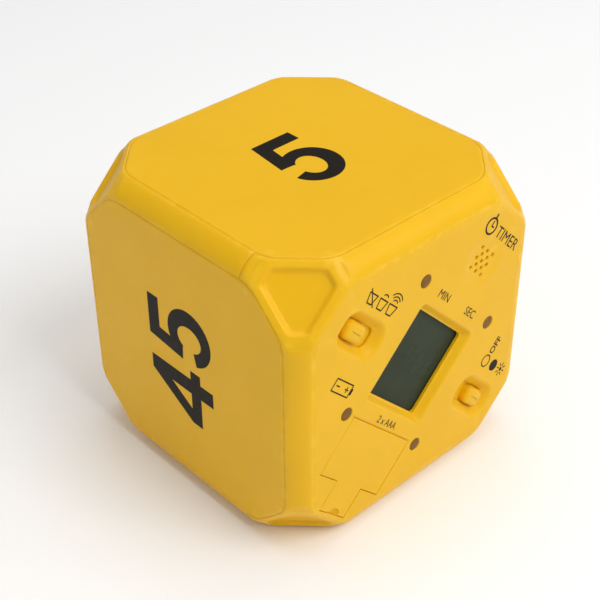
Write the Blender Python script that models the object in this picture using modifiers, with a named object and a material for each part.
"""Cube timer with a rotated square display, two slide switches and a battery door in its front cover.

Metres, +Z up. The origin is the middle of the face that it stands on, and the display looks along -Y.
"""

import math
from itertools import permutations, product

import bmesh
import bpy
from mathutils import Matrix, Vector

MM = 0.001
ROOT2 = math.sqrt(2)
ROOT3 = math.sqrt(3)

# The case: a cube with chamfered edges and cut corners
SIDE = 63.5 * MM
EDGE_INSET = 3.85 * MM  # from a face's plane to the start of the next face's flat
CORNER_LEG = 8.3 * MM  # leg of the corner that a facet takes off each flat
EDGE_ROUND = 0.7 * MM
WALL = 2.0 * MM
PANEL_FRAME = 2.0 * MM  # border left round the sunk panel in each corner facet
PANEL_DEPTH = 0.7 * MM
COVER_REACH = 14.55 * MM  # how far back the cover's corners run from its front
ARM_WIDTH = 6.0 * MM  # the snap arms behind the cover's corners
ARM_THICK = 1.5 * MM
BARB_WIDTH = 2.8 * MM
BARB_LENGTH = 1.8 * MM
BARB_BACK = 4.0 * MM  # from the cover's back edge to the barb

# Clearances
SEAM = 0.2 * MM  # between the cover, the housing and the door
GAP = 0.25 * MM  # between pieces that rest on each other
SLIDE_GAP = 0.2 * MM  # round a piece that slides

# Display
RIM = 20.6 * MM
WINDOW = 18.0 * MM
WINDOW_ROUND = 0.8 * MM
BEZEL_DEPTH = 1.4 * MM
RIM_ROUND = 1.2 * MM
GLASS = 20.4 * MM
GLASS_THICK = 0.7 * MM
FILM_THICK = 0.2 * MM
FILM_LAP = 0.6 * MM  # of the film past the window on each side
LAYER_GAP = 0.1 * MM  # between the display's layers
CONNECTOR_INSET = (1.0 * MM, 0.3 * MM)  # of the rubber connectors from the glass's ends and the strip's sides
STRIP = 2.4 * MM  # of the front glass, where the rubber connectors press on it
FRAME_WALL = 1.4 * MM

# Circuit board
BOARD_SPACE = 6.2 * MM  # from the cover's inner face to the board
BOARD_THICK = 1.2 * MM
BOARD_MARGIN = 1.3 * MM
BOARD_REACH = 30.5 * MM  # from the middle to the board's cut tips
UPPER_SCREW = (0.6 * MM, 1.5 * MM)  # the upper bosses' gap to the buzzer, and their height over its middle
SIDE_SCREW = (21.0 * MM, -11.5 * MM)
CHIP = (9.0 * MM, 1.5 * MM)  # width and height of the blob over the chip
CHIP_PLACE = (-12.0 * MM, 9.0 * MM)
CRYSTAL = (2.0 * MM, 6.0 * MM)  # diameter and length
CRYSTAL_PLACE = (9.0 * MM, 12.0 * MM)
CAPACITOR = (5.0 * MM, 7.0 * MM)
CAPACITOR_ROUND = (0.4 * MM, 0.6 * MM)
CAPACITOR_PLACE = (15.0 * MM, 3.0 * MM)

# Slide switches: each sits in an oval dish
DISH_LENGTH = 13.0 * MM
DISH_WIDTH = 9.4 * MM
DISH_DEPTH = 1.4 * MM
DISH_DROP = 0.6 * MM  # below the face's middle line
VOLUME_INSET = 10.99 * MM  # from the facet beside each switch to the middle of its travel
POWER_INSET = 9.79 * MM
KNOB_LENGTH = 6.9 * MM
KNOB_WIDTH = 4.3 * MM
KNOB_TOP = 0.15 * MM  # below the face
KNOB_ROUND = 0.8 * MM
KNOB_TRAVEL = 3.0 * MM  # three stops
SKIRT_THICK = 0.8 * MM
SKIRT_LAP = 0.15 * MM  # past the slot at full travel
SKIRT_BORDER = 1.0 * MM  # past the knob's long sides
FORK_THICK = 0.8 * MM
FORK_WIDTH = 2.0 * MM
LEVER = 1.8 * MM
LEVER_FOOT = (0.7 * MM, 0.2 * MM)  # past the lever's stem, along and across the travel
LEVER_DROP = (0.4 * MM, 1.8 * MM)  # from the switch's roof to the foot's top and bottom
SWITCH_HEIGHT = 3.5 * MM
SWITCH_WIDTH = 5.6 * MM
SWITCH_END = 1.2 * MM  # wall at each end of the lever's room

# Indicator lights
LIGHT_WINDOW = 2.8 * MM
WINDOW_DROP = 0.1 * MM  # below the face
WINDOW_FLANGE = (0.6 * MM, 0.6 * MM)  # width and thickness of its rim behind the cover
LED = 2.9 * MM
LIGHT_ABOVE = 13.7 * MM
LIGHT_BELOW = 14.2 * MM

# Sounder
GRILLE_R = 22.7 * MM
GRILLE_PITCH = 1.56 * MM
GRILLE_HOLE = 0.9 * MM
GRILLE_DISH = 11.0 * MM
GRILLE_DISH_DEPTH = 0.45 * MM
BUZZER = 12.0 * MM
BUZZER_WALL = 0.7 * MM
BUZZER_HOLE = 2.6 * MM
BUZZER_BASE = 2.2 * MM
DIAPHRAGM = 0.3 * MM

# Batteries: two AAA cells, end on to the door
CELL = 10.5 * MM
CELL_LENGTH = 44.5 * MM
CELL_NUB = 3.8 * MM
CELL_NUB_HEIGHT = 0.8 * MM
CELL_ROUND = 0.4 * MM
CELL_PLAY = 0.25 * MM
BAY_PLAY = 0.4 * MM  # beside the two cells, on each side of the middle
TRAY_WALL = 1.0 * MM
TRAY_LIP = 1.15 * MM  # between the tray's mouth and the lips that the door rests on
EAR_THICK = 1.6 * MM
EAR_SPACE = 0.8 * MM  # between the tray and the screw bosses beside it
DOOR_TOP = -14.1 * MM
DOOR_FOOT = 0.8 * MM  # how far the door runs on below the cells' space
DOOR_THICK = 1.8 * MM
TONGUE = 9.2 * MM
TONGUE_EDGE = 0.7 * MM  # from the tongue's end to the facet
HOOK_S = 6.5 * MM  # from the middle to each hook
HOOK_WIDTH = 3.0 * MM
HOOK_THICK = 0.9 * MM
HOOK_NECK = (-1.6 * MM, -0.3 * MM)
HOOK_REACH = 1.5 * MM
HOOK_ROOT = -1.0 * MM
RIB = (6.0 * MM, 1.2 * MM, 5.0 * MM)  # width, thickness and height of the rib that stiffens the door
RIB_EDGE = 1.6 * MM  # from the cells' space to the rib
NAIL_NOTCH = (3.4 * MM, 0.9 * MM, 0.6 * MM)  # width, length and depth
NAIL_S = 0.4 * MM
LEDGE_THICK = 1.1 * MM  # of the lips that the door's long sides rest on
LEDGE = (-4.5 * MM, 4.0 * MM)  # their ends, from the cells' middle
CONTACT_SPACE = 3.6 * MM  # between the door or the tray's floor and the cells
CONTACT_THICK = 0.4 * MM
CONTACT = 8.4 * MM
CONTACT_BUMP = (4.8 * MM, 2.4 * MM)  # diameters at its foot and at its top
BRIDGE_REACH = 3.2 * MM  # past the cells' middles
BRIDGE_EDGE = 1.85 * MM  # from the cells' sides to the bridge's long edges
TAB = (2.0 * MM, 0.5 * MM)
TAB_R = 2.75 * MM  # from the contact's middle to its tab
TAB_LENGTH = 1.6 * MM
TAB_SLOT = (2.8 * MM, 1.2 * MM)
SPRING_WIRE = 0.55 * MM
SPRING = (6.6 * MM, 3.8 * MM)  # diameters at its foot and at its top
SPRING_TURNS = 3
LEAD = 1.1 * MM
LEAD_RISE = 1.2 * MM  # from the tray's side to the wires' middle

# Screws
HEAD = 3.6 * MM
HEAD_HEIGHT = 1.2 * MM
SHANK = 1.8 * MM
SHANK_LENGTH = 5.0 * MM
BOSS = 4.4 * MM
CROSS_THICK = 0.5 * MM
PILOT_FOOT = 0.5 * MM  # left between a screw's hole and the cover's wall

# Tilt sensor
SENSOR = 7.4 * MM
SENSOR_HEIGHT = 6.0 * MM
SENSOR_WALL = 0.8 * MM
BALL = 4.0 * MM
SENSOR_RISE = 2.0 * MM  # over the cube's middle
CUT_PAST = 1.0 * MM  # how far a cutter runs on beyond what it cuts

# Worked out from the sizes above
HALF = SIDE / 2
FLAT = HALF - EDGE_INSET
CORNER = FLAT - CORNER_LEG
FACET_R = (FLAT + CORNER) / ROOT2  # from the face's middle to the facet's edge
VOLUME_S = VOLUME_INSET - FACET_R
POWER_S = FACET_R - POWER_INSET
FLAT_BACK = HALF - WALL - EDGE_INSET / 4  # inner side of the flats that the housing reaches over the cover
BOARD = WALL + BOARD_SPACE
BOARD_BACK = BOARD + BOARD_THICK
SKIRT = WALL + GAP
BAY_HALF = CELL + BAY_PLAY
BAY_HEIGHT = CELL + 2 * CELL_PLAY
BAY_R = DOOR_TOP - GAP - BAY_HEIGHT / 2
CELL_S = (CELL + CELL_PLAY) / 2
TRAY_HALF = BAY_HALF + TRAY_WALL
DOOR_BOTTOM = BAY_R - BAY_HEIGHT / 2 - DOOR_FOOT
TONGUE_END = -(FACET_R - TONGUE_EDGE)
LIGHT_S = TRAY_HALF + LED / 2 + GAP
LEDGE_FOOT = DOOR_THICK + GAP + LEDGE_THICK
TRAY_MOUTH = LEDGE_FOOT + TRAY_LIP
CELL_FRONT = DOOR_THICK + CONTACT_SPACE + 2 * GAP
CELL_BACK = CELL_FRONT + CELL_LENGTH
TRAY_FLOOR = CELL_BACK + CONTACT_SPACE
EAR = BOARD - GAP
BOSS_S = TRAY_HALF + BOSS / 2 + EAR_SPACE

YELLOW = (0.86, 0.53, 0.02)
SMOKE = (0.17, 0.09, 0.03)
STEEL = (0.62, 0.62, 0.60)
BLACK = (0.02, 0.02, 0.02)
WHITE = (0.80, 0.80, 0.76)


def new_collection(name):
    made = bpy.data.collections.new(name)
    bpy.context.scene.collection.children.link(made)
    return made


def new_empty(name, parent=None, location=(0, 0, 0)):
    empty = bpy.data.objects.new(name, None)
    empty.empty_display_size = 0.01
    empty.parent = parent
    empty.location = location
    PARTS.objects.link(empty)
    return empty


for old in list(bpy.data.objects):
    bpy.data.objects.remove(old, do_unlink=True)
PARTS = new_collection("cube_timer")
HELPERS = new_collection("cutters")

# The cube's middle, and the display face's middle with x and y along the display's own sides, z out of it
CENTRE = new_empty("cube_centre", location=(0, 0, HALF))
FACE = new_empty("display_face", CENTRE, (0, -HALF, 0))
FACE.rotation_mode = "ZYX"
FACE.rotation_euler = (math.pi / 2, 0, -math.pi / 4)


# ---------------------------------------------------------------- tools


def paint(obj, colour, roughness, metallic=0.0, alpha=1.0):
    material = bpy.data.materials.new(obj.name)
    material.use_nodes = True
    shader = material.node_tree.nodes["Principled BSDF"]
    shader.inputs["Base Color"].default_value = (*colour, 1)
    shader.inputs["Roughness"].default_value = roughness
    shader.inputs["Metallic"].default_value = metallic
    shader.inputs["Alpha"].default_value = alpha
    material.diffuse_color = (*colour, alpha)
    obj.data.materials.clear()
    obj.data.materials.append(material)
    return obj


def place(name, mesh, parent, at, helper):
    obj = bpy.data.objects.new(name, mesh)
    obj.parent = parent
    obj.location = at
    if helper:
        obj.hide_render = True
        obj.display_type = "WIRE"
        HELPERS.objects.link(obj)
    else:
        PARTS.objects.link(obj)
    return obj


def from_bmesh(name, bm, parent, at=(0, 0, 0), helper=False):
    mesh = bpy.data.meshes.new(name)
    bm.to_mesh(mesh)
    bm.free()
    return place(name, mesh, parent, at, helper)


def block(name, x, y, z, parent, at=(0, 0, 0), helper=False):
    """A box between the two values given along each axis."""
    low = Vector((x[0], y[0], z[0]))
    high = Vector((x[1], y[1], z[1]))
    bm = bmesh.new()
    fit = Matrix.Translation((low + high) / 2) @ Matrix.Diagonal((*(high - low), 1))
    bmesh.ops.create_cube(bm, size=1, matrix=fit)
    return from_bmesh(name, bm, parent, at, helper)


def rod(name, radius, z, parent, at=(0, 0, 0), helper=False, sides=24, top=None):
    """A cylinder along z, or a cone when top is the radius at its far end."""
    bm = bmesh.new()
    bmesh.ops.create_cone(
        bm,
        cap_ends=True,
        segments=sides,
        radius1=radius,
        radius2=radius if top is None else top,
        depth=z[1] - z[0],
        matrix=Matrix.Translation((0, 0, (z[0] + z[1]) / 2)),
    )
    return from_bmesh(name, bm, parent, at, helper)


def curve_to_mesh(obj):
    """Swaps a curve for a closed mesh, so that it can be cut, joined or used as a cutter."""
    bpy.context.view_layer.update()
    graph = bpy.context.evaluated_depsgraph_get()
    mesh = bpy.data.meshes.new_from_object(obj.evaluated_get(graph))
    bm = bmesh.new()
    bm.from_mesh(mesh)
    bmesh.ops.remove_doubles(bm, verts=bm.verts, dist=1e-6)
    bmesh.ops.recalc_face_normals(bm, faces=bm.faces)
    bm.to_mesh(mesh)
    bm.free()
    helper = obj.hide_render
    made = place(obj.name + "_mesh", mesh, obj.parent, obj.location, helper)
    name = obj.name
    bpy.data.objects.remove(obj, do_unlink=True)
    made.name = name
    mesh.name = name
    return made


def plate(name, outline, z, parent, at=(0, 0, 0), helper=False, holes=()):
    """A flat outline, with any holes, between two heights."""
    curve = bpy.data.curves.new(name, "CURVE")
    curve.dimensions = "2D"
    curve.fill_mode = "BOTH"
    curve.extrude = (z[1] - z[0]) / 2
    for loop in (outline, *holes):
        spline = curve.splines.new("POLY")
        spline.points.add(len(loop) - 1)
        spline.use_cyclic_u = True
        for point, (x, y) in zip(spline.points, loop):
            point.co = (x, y, 0, 1)
    obj = place(name, curve, parent, Vector(at) + Vector((0, 0, (z[0] + z[1]) / 2)), helper)
    return curve_to_mesh(obj)


def turned(name, profile, parent, at=(0, 0, 0), helper=False, steps=24):
    """A (radius, height) profile, from top to bottom down its outer side, turned about z."""
    mesh = bpy.data.meshes.new(name)
    points = [(radius, 0, height) for radius, height in profile]
    mesh.from_pydata(points, [(i, i + 1) for i in range(len(points) - 1)], [])
    obj = place(name, mesh, parent, at, helper)
    screw = obj.modifiers.new("turn", "SCREW")
    screw.steps = screw.render_steps = steps
    screw.use_merge_vertices = True
    screw.merge_threshold = 1e-6
    return obj


def wire(name, points, radius, parent, at=(0, 0, 0), smooth=False):
    """A round wire with closed ends through the points."""
    curve = bpy.data.curves.new(name, "CURVE")
    curve.dimensions = "3D"
    curve.bevel_depth = radius
    curve.bevel_resolution = 1 if smooth else 2
    curve.use_fill_caps = True
    spline = curve.splines.new("BEZIER" if smooth else "POLY")
    if smooth:
        curve.resolution_u = 4
        spline.bezier_points.add(len(points) - 1)
        for point, place_at in zip(spline.bezier_points, points):
            point.co = place_at
            point.handle_left_type = point.handle_right_type = "AUTO"
    else:
        spline.points.add(len(points) - 1)
        for point, place_at in zip(spline.points, points):
            point.co = (*place_at, 1)
    return place(name, curve, parent, at, False)


def boolean(obj, operation, helpers):
    group = bpy.data.collections.new(f"{obj.name}_{operation.lower()}")
    HELPERS.children.link(group)
    for helper in helpers:
        HELPERS.objects.unlink(helper)
        group.objects.link(helper)
    modifier = obj.modifiers.new(group.name, "BOOLEAN")
    modifier.operation = operation
    modifier.operand_type = "COLLECTION"
    modifier.collection = group
    modifier.solver = "EXACT"
    return obj


def cut(obj, *helpers):
    return boolean(obj, "DIFFERENCE", helpers)


def join(obj, *helpers):
    return boolean(obj, "UNION", helpers)


def soften(obj, width, segments=2):
    bevel = obj.modifiers.new("soften", "BEVEL")
    bevel.width = width
    bevel.segments = segments
    bevel.limit_method = "ANGLE"
    return obj


# ---------------------------------------------------------------- outlines


def arc(centre, radius, start, end, steps):
    for i in range(steps + 1):
        angle = math.radians(start + (end - start) * i / steps)
        yield centre[0] + radius * math.cos(angle), centre[1] + radius * math.sin(angle)


def rounded_square(side, radius, steps=3):
    reach = side / 2 - radius
    points = []
    for quarter, (x, y) in enumerate(((1, 1), (-1, 1), (-1, -1), (1, -1))):
        points += arc((x * reach, y * reach), radius, 90 * quarter, 90 * quarter + 90, steps)
    return points


def pill(length, width, steps=8):
    reach = (length - width) / 2
    return [*arc((reach, 0), width / 2, -90, 90, steps), *arc((-reach, 0), width / 2, 90, 270, steps)]


def circle(centre, radius, steps=16):
    return list(arc(centre, radius, 0, 360, steps))[:-1]


def octagon(flat, corner):
    """The flat of one cube face, going round: its corners are the two lengths in every order and sign."""
    first = [(flat, -corner), (flat, corner), (corner, flat), (-corner, flat)]
    return first + [(-x, -y) for x, y in first]


# ---------------------------------------------------------------- the case


def hull_sizes(inset):
    """Face distance, flat and corner of the case's form when every plane moves in by inset."""
    half = HALF - inset
    flat = HALF + FLAT - ROOT2 * inset - half
    corner = HALF + FLAT + CORNER - ROOT3 * inset - half - flat
    return half, flat, corner


def case_form(name, inset, helper):
    """The cube with its edge bands and corner facets. Its outside has rounded edges and sunk panels."""
    bm = bmesh.new()
    sizes = hull_sizes(inset)
    for signs in product((-1, 1), repeat=3):
        for order in permutations(sizes):
            bm.verts.new([sign * size for sign, size in zip(signs, order)])
    bmesh.ops.convex_hull(bm, input=bm.verts)
    bmesh.ops.dissolve_limit(bm, angle_limit=0.01, verts=bm.verts, edges=bm.edges)
    if not inset:
        bmesh.ops.bevel(
            bm,
            geom=bm.edges[:],
            offset=EDGE_ROUND,
            segments=2,
            profile=0.5,
            affect="EDGES",
        )
        bm.normal_update()
        slant = math.cos(math.radians(55))  # a facet's normal is as far along each axis
        facets = [face for face in bm.faces if min(map(abs, face.normal)) > slant and len(face.verts) == 6]
        bmesh.ops.inset_individual(bm, faces=facets, thickness=PANEL_FRAME - EDGE_ROUND)
        bmesh.ops.inset_individual(bm, faces=facets, thickness=PANEL_DEPTH / 4, depth=-PANEL_DEPTH)
    return from_bmesh(name, bm, CENTRE, helper=helper)


def cover_space(name, seam):
    """The block that the cover is taken from, less the flats that the housing's four sides reach over."""
    reach = HALF + CUT_PAST
    back = -HALF + COVER_REACH - seam
    space = block(name, (-reach, reach), (-reach, back), (-reach, reach), CENTRE, helper=True)
    flats = []
    for side, angle in (("top", 0), ("right", 90), ("bottom", 180), ("left", 270)):
        outline = octagon(FLAT + seam, CORNER + seam)
        flat = plate(f"{name}_{side}", outline, (FLAT_BACK, reach), CENTRE, helper=True)
        turn = Matrix.Rotation(math.radians(angle), 4, "Y")
        flat.data.transform(turn @ Matrix.Translation(flat.location))
        flat.location = (0, 0, 0)
        flats.append(flat)
    return cut(space, *flats)


def corner_turns():
    """The four edges that run from front to back, as turns about Y of the one at +X, +Z."""
    return [(f"corner_{i}", Matrix.Rotation(math.radians(45 + 90 * i), 4, "Y")) for i in range(4)]


def corner_block(name, across, along_y, out, turn):
    made = block(name, across, along_y, out, CENTRE, helper=True)
    made.data.transform(turn)
    return made


def snap_places():
    """Out from the middle: the snap arms' outer side and the edge bands' inner wall. Then the barbs' y."""
    half, flat, _ = hull_sizes(WALL)
    arm = FLAT_BACK * ROOT2 - ARM_WIDTH / 2 - 2 * GAP
    return arm, (half + flat) / ROOT2, -HALF + COVER_REACH + BARB_BACK


def make_housing():
    housing = case_form("housing", 0, helper=False)
    _, band, barb = snap_places()
    across = (-BARB_WIDTH / 2 - GAP, BARB_WIDTH / 2 + GAP)
    along = (barb - GAP, barb + BARB_LENGTH + GAP)
    catches = [
        corner_block(f"catch_{name}", across, along, (band - WALL, band + WALL / 2), turn)
        for name, turn in corner_turns()
    ]
    cut(housing, case_form("housing_inside", WALL, helper=True), cover_space("cover_room", -SEAM / 2))
    cut(housing, *catches)
    return paint(housing, YELLOW, 0.35)


def dish(name, length, width, depth, parent, at, sides=32):
    """A shallow oval bowl whose rim is length by width where it meets the face."""
    open_angle = math.radians(50)
    bm = bmesh.new()
    bmesh.ops.create_uvsphere(bm, u_segments=sides, v_segments=sides * 3 // 4, radius=1)
    rim = math.sin(open_angle)
    sink = 1 - math.cos(open_angle)
    scale = (length / 2 / rim, width / 2 / rim, depth / sink)
    bm.transform(Matrix.Translation((0, 0, scale[2] * math.cos(open_angle))) @ Matrix.Diagonal((*scale, 1)))
    return from_bmesh(name, bm, parent, at, helper=True)


def bezel_form(name):
    """The display's sloped rim: it opens from just inside the window to the rim's full size at the face."""
    over = CUT_PAST / 2
    slope = (RIM - WINDOW) / 2 / BEZEL_DEPTH
    bm = bmesh.new()
    bmesh.ops.create_cone(
        bm,
        cap_ends=True,
        segments=4,
        radius1=(WINDOW - LAYER_GAP) / 2 * ROOT2,
        radius2=(RIM / 2 + over * slope) * ROOT2,
        depth=BEZEL_DEPTH + over,
        matrix=Matrix.Translation((0, 0, (over - BEZEL_DEPTH) / 2)) @ Matrix.Rotation(math.pi / 4, 4, "Z"),
    )
    slanted = [edge for edge in bm.edges if abs(edge.verts[0].co.z - edge.verts[1].co.z) > over]
    bmesh.ops.bevel(bm, geom=slanted, offset=RIM_ROUND, segments=3, profile=0.5, affect="EDGES")
    return from_bmesh(name, bm, FACE, helper=True)


def grille_places():
    """Holes in a diamond: rows of one, three, five, three and one, in line with the case's edges."""
    for row, column in product(range(-2, 3), repeat=2):
        if abs(row) + abs(column) <= 2:
            yield (column - row) / ROOT2 * GRILLE_PITCH, GRILLE_R + (column + row) / ROOT2 * GRILLE_PITCH


def light_places():
    return {
        "top": (-LIGHT_S, LIGHT_ABOVE),
        "right": (LIGHT_S, LIGHT_ABOVE),
        "bottom": (LIGHT_S, -LIGHT_BELOW),
        "left": (-LIGHT_S, -LIGHT_BELOW),
    }


def board_screw_places():
    upper_s = BUZZER / 2 + BOSS / 2 + UPPER_SCREW[0]
    upper_r = GRILLE_R + UPPER_SCREW[1]
    side_s, side_r = SIDE_SCREW
    return [(-upper_s, upper_r), (upper_s, upper_r), (-side_s, side_r), (side_s, side_r)]


def tray_screw_places():
    return [(-BOSS_S, BAY_R), (BOSS_S, BAY_R)]


def door_outline(gap):
    """The door's T shape, with its hinge edge at y = 0 and the gap taken off every side."""
    top = -gap
    bottom = DOOR_BOTTOM - DOOR_TOP + gap
    wide = BAY_HALF - gap
    narrow = TONGUE / 2 - gap
    end = TONGUE_END - DOOR_TOP + gap
    right = [(wide, top), (wide, bottom), (narrow, bottom), (narrow, end)]
    return right + [(-x, y) for x, y in reversed(right)]


def make_cover():
    cover = case_form("front_cover", 0, helper=False)
    boolean(cover, "INTERSECT", [cover_space("cover_block", SEAM / 2)])
    cut(cover, case_form("cover_inside", WALL, helper=True))
    through = (-WALL - CUT_PAST, CUT_PAST)
    cut(cover, plate("door_opening", door_outline(0), through, FACE, (0, DOOR_TOP, 0), True))

    arm, band, barb = snap_places()
    arm_foot = arm * ROOT2 - sum(hull_sizes(WALL)) - WALL / 2
    added = []
    for name, turn in corner_turns():
        across = (-ARM_WIDTH / 2, ARM_WIDTH / 2)
        along = (arm_foot, barb + BARB_LENGTH + GAP)
        added.append(corner_block(f"arm_{name}", across, along, (arm - ARM_THICK, arm), turn))
        across = (-BARB_WIDTH / 2, BARB_WIDTH / 2)
        out = (arm - ARM_THICK / 2, band + WALL / 2 - GAP)
        added.append(corner_block(f"barb_{name}", across, (barb, barb + BARB_LENGTH), out, turn))
    for i, (s, r) in enumerate(board_screw_places()):
        added.append(rod(f"board_boss_{i}", BOSS / 2, (-BOARD + GAP, -WALL / 2), FACE, (s, r, 0), True, 16))
    for i, (s, r) in enumerate(tray_screw_places()):
        added.append(rod(f"tray_boss_{i}", BOSS / 2, (-EAR + GAP, -WALL / 2), FACE, (s, r, 0), True, 16))
    for i, side in enumerate((-1, 1)):
        r = (BAY_R + LEDGE[0], BAY_R + LEDGE[1])
        lip = sorted((side * (BAY_HALF - LEDGE_THICK), side * (BAY_HALF + LEDGE_THICK)))
        post = sorted((side * (BAY_HALF + SEAM), side * (BAY_HALF + LEDGE_THICK)))
        added.append(block(f"door_ledge_{i}", lip, r, (-LEDGE_FOOT, -DOOR_THICK - GAP), FACE, helper=True))
        added.append(block(f"ledge_post_{i}", post, r, (-LEDGE_FOOT, -WALL / 2), FACE, helper=True))
    join(cover, *added)

    cuts = [
        plate("window", rounded_square(WINDOW, WINDOW_ROUND), through, FACE, helper=True),
        bezel_form("bezel"),
        dish("grille_dish", GRILLE_DISH, GRILLE_DISH, GRILLE_DISH_DEPTH, FACE, (0, GRILLE_R, 0)),
    ]
    for name, s in (("volume", VOLUME_S), ("power", POWER_S)):
        at = (s, -DISH_DROP, 0)
        cuts.append(dish(f"{name}_dish", DISH_LENGTH, DISH_WIDTH, DISH_DEPTH, FACE, at))
        slot = pill(KNOB_LENGTH + KNOB_TRAVEL + 2 * SLIDE_GAP, KNOB_WIDTH + 2 * SLIDE_GAP)
        cuts.append(plate(f"{name}_slot", slot, through, FACE, at, True))
    light_hole = (LIGHT_WINDOW + SLIDE_GAP) / 2
    for name, (s, r) in light_places().items():
        cuts.append(rod(f"light_hole_{name}", light_hole, through, FACE, (s, r, 0), True, 20))
    for i, (s, r) in enumerate(grille_places()):
        cuts.append(rod(f"grille_hole_{i}", GRILLE_HOLE / 2, through, FACE, (s, r, 0), True, 10))
    pilot = SHANK / 2 + SLIDE_GAP
    bored = (-BOARD - CUT_PAST, -WALL - PILOT_FOOT)
    for i, (s, r) in enumerate(board_screw_places() + tray_screw_places()):
        cuts.append(rod(f"pilot_{i}", pilot, bored, FACE, (s, r, 0), True, 12))
    cut(cover, *cuts)
    return paint(cover, YELLOW, 0.35)


def make_door():
    hinge = new_empty("door_hinge", FACE, (0, DOOR_TOP, 0))
    door = plate("battery_door", door_outline(SEAM), (-DOOR_THICK, 0), hinge)
    under = -WALL - GAP
    added = []
    for i, side in enumerate((-1, 1)):
        s = (side * HOOK_S - HOOK_WIDTH / 2, side * HOOK_S + HOOK_WIDTH / 2)
        neck = (under - HOOK_THICK, -DOOR_THICK / 2)
        added.append(block(f"hook_neck_{i}", s, HOOK_NECK, neck, hinge, helper=True))
        tip = (HOOK_ROOT, HOOK_REACH)
        added.append(block(f"hook_tip_{i}", s, tip, (under - HOOK_THICK, under), hinge, helper=True))
    width, thick, height = RIB
    rib = BAY_R - DOOR_TOP - BAY_HEIGHT / 2 - RIB_EDGE
    across = (-width / 2, width / 2)
    along = (rib - thick, rib)
    added.append(block("door_rib", across, along, (-height, -DOOR_THICK / 2), hinge, helper=True))
    join(door, *added)
    width, length, depth = NAIL_NOTCH
    end = TONGUE_END - DOOR_TOP
    across = (NAIL_S - width / 2, NAIL_S + width / 2)
    along = (end - CUT_PAST, end + length)
    cut(door, block("nail_notch", across, along, (-depth, CUT_PAST), hinge, helper=True))
    return paint(door, YELLOW, 0.35)


# ---------------------------------------------------------------- display


def make_display():
    glass_front = WALL + 2 * GAP + FILM_THICK
    film = WINDOW / 2 + FILM_LAP
    side = GLASS / 2
    short = GLASS / 2 - STRIP
    rear_glass = glass_front + GLASS_THICK + LAYER_GAP
    reflector = rear_glass + GLASS_THICK + LAYER_GAP

    depth = (-WALL - GAP - FILM_THICK, -WALL - GAP)
    polariser = block("lcd_polariser", (-film, film), (-film, film), depth, FACE)
    paint(polariser, (0.20, 0.23, 0.17), 0.3)
    depth = (-glass_front - GLASS_THICK, -glass_front)
    front = block("lcd_front_glass", (-side, side), (-side, side), depth, FACE)
    paint(front, (0.75, 0.80, 0.76), 0.05, alpha=0.4)
    depth = (-rear_glass - GLASS_THICK, -rear_glass)
    rear = block("lcd_rear_glass", (-side, side), (-short, short), depth, FACE)
    paint(rear, (0.75, 0.80, 0.76), 0.05, alpha=0.4)
    back = block("lcd_reflector", (-film, film), (-short, short), (-reflector - FILM_THICK, -reflector), FACE)
    paint(back, (0.62, 0.66, 0.58), 0.4)

    from_end, from_side = CONNECTOR_INSET
    strip = (-side + from_end, side - from_end)
    height = (-BOARD + GAP, -rear_glass)
    for name, sign in (("upper", 1), ("lower", -1)):
        r = sorted((sign * (short + from_side), sign * (side - from_side)))
        paint(block(f"zebra_strip_{name}", strip, r, height, FACE), (0.55, 0.55, 0.58), 0.8)

    inner = side + SLIDE_GAP
    outer = inner + FRAME_WALL
    frame = block("lcd_frame", (-outer, outer), (-outer, outer), (-BOARD + GAP, -WALL - GAP), FACE)
    cut(frame, block("lcd_room", (-inner, inner), (-inner, inner), (-BOARD - CUT_PAST, 0), FACE, helper=True))
    paint(frame, WHITE, 0.5)


# ---------------------------------------------------------------- circuit board


def board_outline():
    """A square with cut tips, notched where the battery tray passes."""
    slope = hull_sizes(WALL)[1] * ROOT2 - BOARD_MARGIN
    notch = TRAY_HALF + GAP
    shelf = BAY_R + BAY_HEIGHT / 2 + TRAY_WALL + 2 * GAP
    foot = BAY_R + BOSS / 2 + GAP
    tip = slope - BOARD_REACH
    right = [
        (tip, BOARD_REACH),
        (BOARD_REACH, tip),
        (BOARD_REACH, -tip),
        (slope + foot, foot),
        (notch, foot),
        (notch, shelf),
    ]
    return right + [(-x, y) for x, y in reversed(right)]


def make_board():
    holes = [circle(place_at, SHANK / 2 + SLIDE_GAP, 12) for place_at in board_screw_places()]
    board = plate("circuit_board", board_outline(), (-BOARD_BACK, -BOARD), FACE, holes=holes)
    paint(board, (0.03, 0.20, 0.08), 0.45)

    behind = -BOARD_BACK - GAP
    width, height = CHIP
    chip = dish("controller_chip", width, width, height, FACE, (*CHIP_PLACE, behind), sides=16)
    HELPERS.objects.unlink(chip)
    PARTS.objects.link(chip)
    chip.hide_render = False
    chip.display_type = "TEXTURED"
    cut(chip, block("chip_trim", (-width, width), (-width, width), (0, 2 * width), FACE, chip.location, True))
    paint(chip, BLACK, 0.3)

    width, length = CRYSTAL
    at = (*CRYSTAL_PLACE, behind - width / 2)
    crystal = rod("crystal", width / 2, (-length / 2, length / 2), FACE, at, sides=12)
    crystal.rotation_euler.x = math.pi / 2
    paint(crystal, STEEL, 0.3, 1)
    radius, length = CAPACITOR[0] / 2, CAPACITOR[1]
    narrow, low = CAPACITOR_ROUND
    profile = [(0, 0), (radius, 0), (radius, low - length), (radius - narrow, -length), (0, -length)]
    paint(turned("capacitor", profile, FACE, (*CAPACITOR_PLACE, behind), steps=16), (0.03, 0.04, 0.12), 0.4)

    for i, (s, r) in enumerate(board_screw_places(), 1):
        make_screw(f"board_screw_{i}", (s, r, behind))


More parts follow.
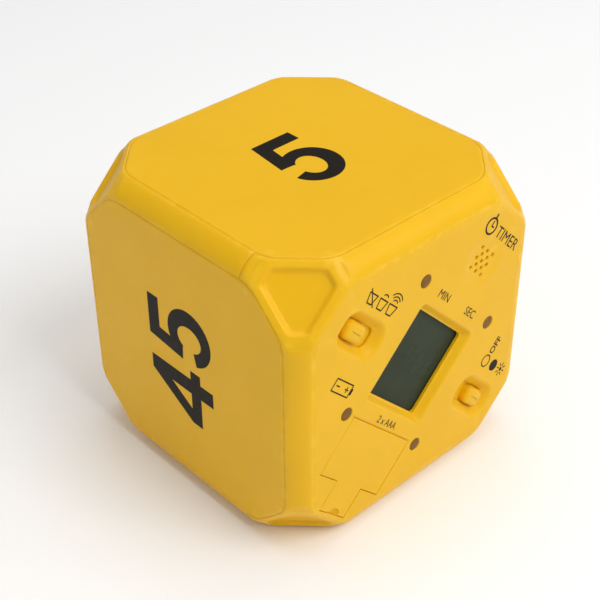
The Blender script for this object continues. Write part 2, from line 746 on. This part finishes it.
def make_screw(name, at):
    """A pan-head screw whose head stands behind its seat at the given place, with the shank going forward."""
    profile = [
        (0, SHANK_LENGTH),
        (SHANK / 4, SHANK_LENGTH),
        (SHANK / 2, SHANK_LENGTH - SHANK / 2),
        (SHANK / 2, 0),
        (HEAD / 2, 0),
        (HEAD / 2, -HEAD_HEIGHT / 2),
        (HEAD / 3, -HEAD_HEIGHT),
        (0, -HEAD_HEIGHT),
    ]
    screw = turned(name, profile, FACE, at, steps=12)
    reach, thin = HEAD / 4, CROSS_THICK / 2
    slots = [(reach, thin), (thin, reach)]
    sunk = (-HEAD_HEIGHT - CUT_PAST, -HEAD_HEIGHT / 2)
    cross = [
        block(f"{name}_slot_{i}", (-x, x), (-y, y), sunk, FACE, at, True)
        for i, (x, y) in enumerate(slots)
    ]
    cut(screw, *cross)
    return paint(screw, STEEL, 0.3, 1)


def make_lights():
    radius = (LIGHT_WINDOW - SLIDE_GAP) / 2
    flange, back = radius + WINDOW_FLANGE[0], -WALL - GAP
    foot = back - WINDOW_FLANGE[1]
    front = -WINDOW_DROP
    pane = [(0, front), (radius, front), (radius, back), (flange, back), (flange, foot), (0, foot)]
    radius, top = LED / 2, foot - GAP
    dome = [(radius * math.sin(a), top - radius * (1 - math.cos(a))) for a in (0, 0.5, 1.0, math.pi / 2)]
    lamp = [*dome, (radius, -BOARD + GAP), (0, -BOARD + GAP)]
    for name, (s, r) in light_places().items():
        paint(turned(f"light_window_{name}", pane, FACE, (s, r, 0), steps=20), SMOKE, 0.12, alpha=0.8)
        paint(turned(f"led_{name}", lamp, FACE, (s, r, 0), steps=16), (0.75, 0.10, 0.06), 0.15, alpha=0.7)


def make_buzzer():
    at = (0, GRILLE_R, 0)
    radius = BUZZER / 2
    inner = radius - BUZZER_WALL
    top = -WALL - 2 * GAP
    base = -BOARD + GAP
    sound_hole = BUZZER_HOLE / 2
    profile = [
        (sound_hole, top),
        (radius, top),
        (radius, base),
        (inner, base),
        (inner, top - BUZZER_WALL),
        (sound_hole, top - BUZZER_WALL),
        (sound_hole, top),
    ]
    paint(turned("buzzer_case", profile, FACE, at), BLACK, 0.5)
    floor = base + BUZZER_BASE
    paint(rod("buzzer_base", inner - GAP, (base, floor), FACE, at), (0.15, 0.15, 0.15), 0.6)
    middle = (floor + top - BUZZER_WALL) / 2
    disc = rod("buzzer_diaphragm", inner - GAP, (middle - DIAPHRAGM / 2, middle + DIAPHRAGM / 2), FACE, at)
    paint(disc, STEEL, 0.3, 1)


# ---------------------------------------------------------------- switches


def make_switch(name, s, rest):
    """A knob on its skirt, its lever, and the switch on the board. At rest it is at that end of its travel."""
    middle = (s, -DISH_DROP, 0)
    slider = new_empty(f"{name}_slider", FACE, (s + rest * KNOB_TRAVEL / 2, -DISH_DROP, 0))
    knob = plate(f"{name}_knob", pill(KNOB_LENGTH, KNOB_WIDTH), (-SKIRT - SKIRT_THICK / 2, -KNOB_TOP), slider)
    soften(knob, KNOB_ROUND, 3)
    half = KNOB_LENGTH / 2 + KNOB_TRAVEL + SLIDE_GAP + SKIRT_LAP
    wide = KNOB_WIDTH / 2 + SKIRT_BORDER
    skirt = (-SKIRT - SKIRT_THICK, -SKIRT)
    added = [block(f"{name}_skirt", (-half, half), (-wide, wide), skirt, slider, helper=True)]
    fork = LEVER / 2 + SLIDE_GAP
    for i, side in enumerate((-1, 1)):
        x = sorted((side * fork, side * (fork + FORK_THICK)))
        z = (-BOARD + SWITCH_HEIGHT + 2 * GAP, -SKIRT - SKIRT_THICK / 2)
        added.append(block(f"{name}_fork_{i}", x, (-FORK_WIDTH / 2, FORK_WIDTH / 2), z, slider, helper=True))
    join(knob, *added)
    paint(knob, YELLOW, 0.35)

    roof = -BOARD + GAP + SWITCH_HEIGHT
    stem = LEVER / 2
    along, across = stem + LEVER_FOOT[0], stem + LEVER_FOOT[1]
    foot = (roof - LEVER_DROP[1], roof - LEVER_DROP[0])
    lever = block(f"{name}_lever", (-along, along), (-across, across), foot, slider)
    rise = (sum(foot) / 2, -SKIRT - SKIRT_THICK - GAP)
    join(lever, block(f"{name}_stem", (-stem, stem), (-stem, stem), rise, slider, helper=True))
    paint(lever, BLACK, 0.5)

    room_s, room_r = along + KNOB_TRAVEL / 2 + SLIDE_GAP, across + SLIDE_GAP
    half_s, half_r = room_s + SWITCH_END, SWITCH_WIDTH / 2
    case = block(f"{name}_switch", (-half_s, half_s), (-half_r, half_r), (-BOARD + GAP, roof), FACE, middle)
    pocket = (foot[0] - SLIDE_GAP, roof + CUT_PAST)
    cut(case, block(f"{name}_pocket", (-room_s, room_s), (-room_r, room_r), pocket, FACE, middle, True))
    paint(case, STEEL, 0.35, 1)


# ---------------------------------------------------------------- batteries


def make_tray():
    r = (BAY_R - BAY_HEIGHT / 2, BAY_R + BAY_HEIGHT / 2)
    outer_r = (r[0] - TRAY_WALL, r[1] + TRAY_WALL)
    floor = (-TRAY_FLOOR - TRAY_WALL, -TRAY_FLOOR)
    tray = block("battery_tray", (-TRAY_HALF, TRAY_HALF), outer_r, (floor[0], -TRAY_MOUTH), FACE)
    ears = []
    for i, side in enumerate((-1, 1)):
        s = sorted((side * (TRAY_HALF - TRAY_WALL / 2), side * (BOSS_S + BOSS / 2)))
        ear_r = (BAY_R - BOSS / 2, BAY_R + BOSS / 2)
        ears.append(block(f"ear_{i}", s, ear_r, (-EAR - EAR_THICK, -EAR), FACE, helper=True))
    join(tray, *ears)
    cuts = [block("tray_room", (-BAY_HALF, BAY_HALF), r, (-TRAY_FLOOR, 0), FACE, helper=True)]
    hole = (-EAR - EAR_THICK - CUT_PAST, -EAR + CUT_PAST)
    for i, (s, screw_r) in enumerate(tray_screw_places()):
        cuts.append(rod(f"ear_hole_{i}", SHANK / 2 + SLIDE_GAP, hole, FACE, (s, screw_r, 0), True, 12))
    half_s, half_r = TAB_SLOT[0] / 2, TAB_SLOT[1] / 2
    through = (floor[0] - CUT_PAST, floor[1] + CUT_PAST)
    for i, side in enumerate((-1, 1)):
        at = (side * CELL_S, BAY_R + TAB_R, 0)
        cuts.append(block(f"tab_slot_{i}", (-half_s, half_s), (-half_r, half_r), through, FACE, at, True))
    cut(tray, *cuts)
    paint(tray, BLACK, 0.55)
    for i, (s, screw_r) in enumerate(tray_screw_places(), 1):
        make_screw(f"tray_screw_{i}", (s, screw_r, -EAR - EAR_THICK - GAP))


def make_cell(name, s, nub_at_door):
    radius = CELL / 2
    nub = CELL_NUB / 2
    profile = [
        (0, 0),
        (nub, 0),
        (nub, -CELL_NUB_HEIGHT),
        (radius - CELL_ROUND, -CELL_NUB_HEIGHT),
        (radius, -CELL_NUB_HEIGHT - CELL_ROUND),
        (radius, -CELL_LENGTH + CELL_ROUND),
        (radius - CELL_ROUND, -CELL_LENGTH),
        (0, -CELL_LENGTH),
    ]
    cell = turned(name, profile, FACE, (s, BAY_R, -CELL_FRONT))
    if not nub_at_door:
        cell.location.z = -CELL_BACK
        cell.rotation_euler.x = math.pi
    return paint(cell, (0.10, 0.16, 0.30), 0.3, 0.3)


def contact_plate(name, at, z, bump, tab):
    """A sprung-steel plate on the tray's floor, with a tab for its wire and perhaps a bump to its cell."""
    reach = CONTACT / 2
    made = block(name, (-reach, reach), (-reach, reach), z, FACE, at)
    half_s, half_r = TAB[0] / 2, TAB[1] / 2
    added = [block(f"{name}_tab", (-half_s, half_s), (TAB_R - half_r, TAB_R + half_r), tab, FACE, at, True)]
    if bump:
        foot, top = CONTACT_BUMP
        added.append(rod(f"{name}_bump", foot / 2, bump, FACE, at, True, 12, top / 2))
    join(made, *added)
    return paint(made, STEEL, 0.3, 1)


def coil(name, at, near, far, parent):
    """A cone spring from its wide end at near to its narrow end at far."""
    per_turn = 10
    count = SPRING_TURNS * per_turn
    wide, narrow = SPRING[0] / 2, SPRING[1] / 2
    points = []
    for i in range(count + 1):
        share = i / count
        angle = math.tau * SPRING_TURNS * share
        radius = wide + (narrow - wide) * share
        points.append((radius * math.cos(angle), radius * math.sin(angle), near + (far - near) * share))
    return paint(wire(name, points, SPRING_WIRE / 2, parent, at), STEEL, 0.25, 1)


def make_contacts(hinge):
    """The bridge on the door joins the two cells; the two plates on the tray's floor take the wires."""
    half = SPRING_WIRE / 2
    top = -DOOR_THICK - GAP
    seat = (top - CONTACT_THICK, top)
    r = BAY_R - DOOR_TOP
    reach, width = CELL_S + BRIDGE_REACH, CELL - 2 * BRIDGE_EDGE
    bridge = block("bridge_contact", (-reach, reach), (-width / 2, width / 2), seat, hinge, (0, r, 0))
    rise = (-CELL_FRONT + GAP, top - CONTACT_THICK / 2)
    foot, tip = CONTACT_BUMP
    join(bridge, rod("bridge_bump", tip / 2, rise, hinge, (CELL_S, r, 0), True, 12, foot / 2))
    paint(bridge, STEEL, 0.3, 1)
    near = seat[0] - LAYER_GAP - half
    coil("bridge_spring", (-CELL_S, r, 0), near, -CELL_FRONT + GAP + half, hinge)

    floor = -TRAY_FLOOR + LAYER_GAP
    seat = (floor, floor + CONTACT_THICK)
    middle = floor + CONTACT_THICK / 2
    tab = (floor - TRAY_WALL - TAB_LENGTH, middle)
    back = -CELL_BACK - GAP
    contact_plate("positive_contact", (-CELL_S, BAY_R, 0), seat, (middle, back), tab)
    contact_plate("negative_contact", (CELL_S, BAY_R, 0), seat, None, tab)
    coil("negative_spring", (CELL_S, BAY_R, 0), seat[1] + LAYER_GAP + half, back - half, FACE)


def make_wires():
    """From each contact's tab, over the tray and forward to the back of the board."""
    above = BAY_R + BAY_HEIGHT / 2 + TRAY_WALL + LEAD_RISE
    tab_end = -TRAY_FLOOR - TRAY_WALL - TAB_LENGTH
    beside_tab = BAY_R + TAB_R + TAB[1] / 2 + GAP + LEAD / 2 + 2 * LAYER_GAP
    for name, s, colour in (("red", -CELL_S, (0.55, 0.02, 0.02)), ("black", CELL_S, BLACK)):
        points = [
            (s, beside_tab, tab_end + 0.6 * MM),
            (s, beside_tab + 1.7 * MM, tab_end + 0.2 * MM),
            (s, above - 0.2 * MM, tab_end + 1.6 * MM),
            (s, above, -TRAY_FLOOR + 8 * MM),
            (s * 0.9, above, -BOARD_BACK - 10 * MM),
            (s * 0.7, above + 1.2 * MM, -BOARD_BACK - 3.5 * MM),
            (s * 0.7, above + 1.6 * MM, -BOARD_BACK - GAP),
        ]
        paint(wire(f"battery_wire_{name}", points, LEAD / 2, FACE, smooth=True), colour, 0.5)


# ---------------------------------------------------------------- tilt sensor


def make_tilt_sensor():
    """A ball in a small box. It rolls to whichever wall is lowest, so the board knows which face is up."""
    half = SENSOR / 2
    room = half - SENSOR_WALL
    front = -HALF + BOARD_BACK + GAP
    back = front + SENSOR_HEIGHT
    at = (0, 0, SENSOR_RISE)
    case = block("tilt_sensor_case", (-half, half), (front, back), (-half, half), CENTRE, at)
    inside = (front + SENSOR_WALL, back + CUT_PAST)
    cut(case, block("sensor_room", (-room, room), inside, (-room, room), CENTRE, at, True))
    paint(case, BLACK, 0.5)
    along = (back + GAP, back + GAP + SENSOR_WALL)
    lid = block("tilt_sensor_lid", (-half, half), along, (-half, half), CENTRE, at)
    paint(lid, (0.12, 0.12, 0.12), 0.5)
    bm = bmesh.new()
    bmesh.ops.create_uvsphere(bm, u_segments=16, v_segments=10, radius=BALL / 2)
    low = at[2] - room + BALL / 2 + SLIDE_GAP / 2
    ball = from_bmesh("tilt_sensor_ball", bm, CENTRE, (0, (front + SENSOR_WALL + back) / 2, low))
    paint(ball, STEEL, 0.1, 1)


make_housing()
make_cover()
door = make_door()
make_display()
make_board()
make_lights()
make_buzzer()
make_switch("volume", VOLUME_S, -1)
make_switch("power", POWER_S, 1)
make_tray()
make_cell("battery_left", -CELL_S, nub_at_door=False)
make_cell("battery_right", CELL_S, nub_at_door=True)
make_contacts(door.parent)
make_wires()
make_tilt_sensor()
